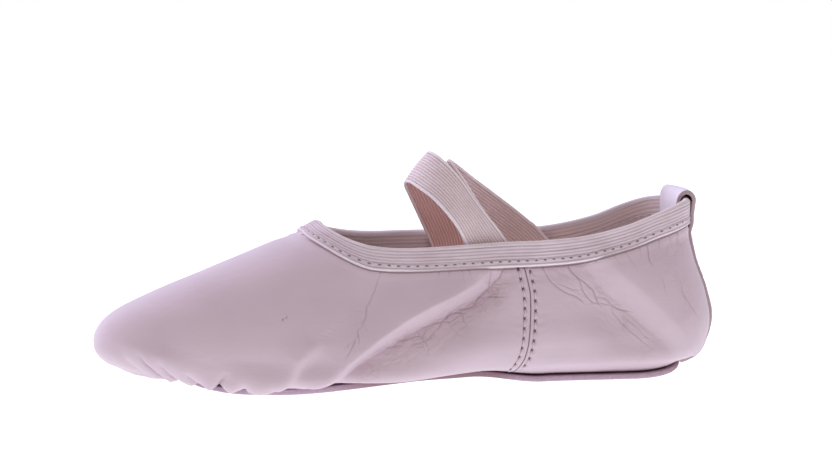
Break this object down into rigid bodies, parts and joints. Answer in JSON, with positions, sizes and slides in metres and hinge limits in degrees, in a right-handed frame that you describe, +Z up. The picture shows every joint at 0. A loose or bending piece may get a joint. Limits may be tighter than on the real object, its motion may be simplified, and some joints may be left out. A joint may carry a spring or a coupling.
{
  "type": "ballet flat",
  "caption": "Soft leather ballet slipper with a full sole, elastic binding round the topline, crossed elastic instep straps and a heel tab; toe at -X.",
  "frame": {"origin": "on the floor under the middle of the shoe's length and width", "axes": "+Z up; toe towards -X, heel towards +X; the side shown in the picture faces -Y"},
  "size_m": [0.205, 0.069, 0.0743],
  "materials": {
    "upper_leather": "soft matte leather, fine creases",
    "strip_leather": "soft matte leather",
    "sole_leather": "split leather, napped",
    "sock_lining": "plain cotton",
    "binding_elastic": "ribbed elastic",
    "strap_elastic": "ribbed elastic"
  },
  "bodies": {
    "root": {"upper": "upper_leather", "outsole": "sole_leather", "insole": "sock_lining", "binding": "binding_elastic", "back_strip": "strip_leather", "strap_over": "strap_elastic", "strap_under": "strap_elastic"}
  },
  "joints": []
}
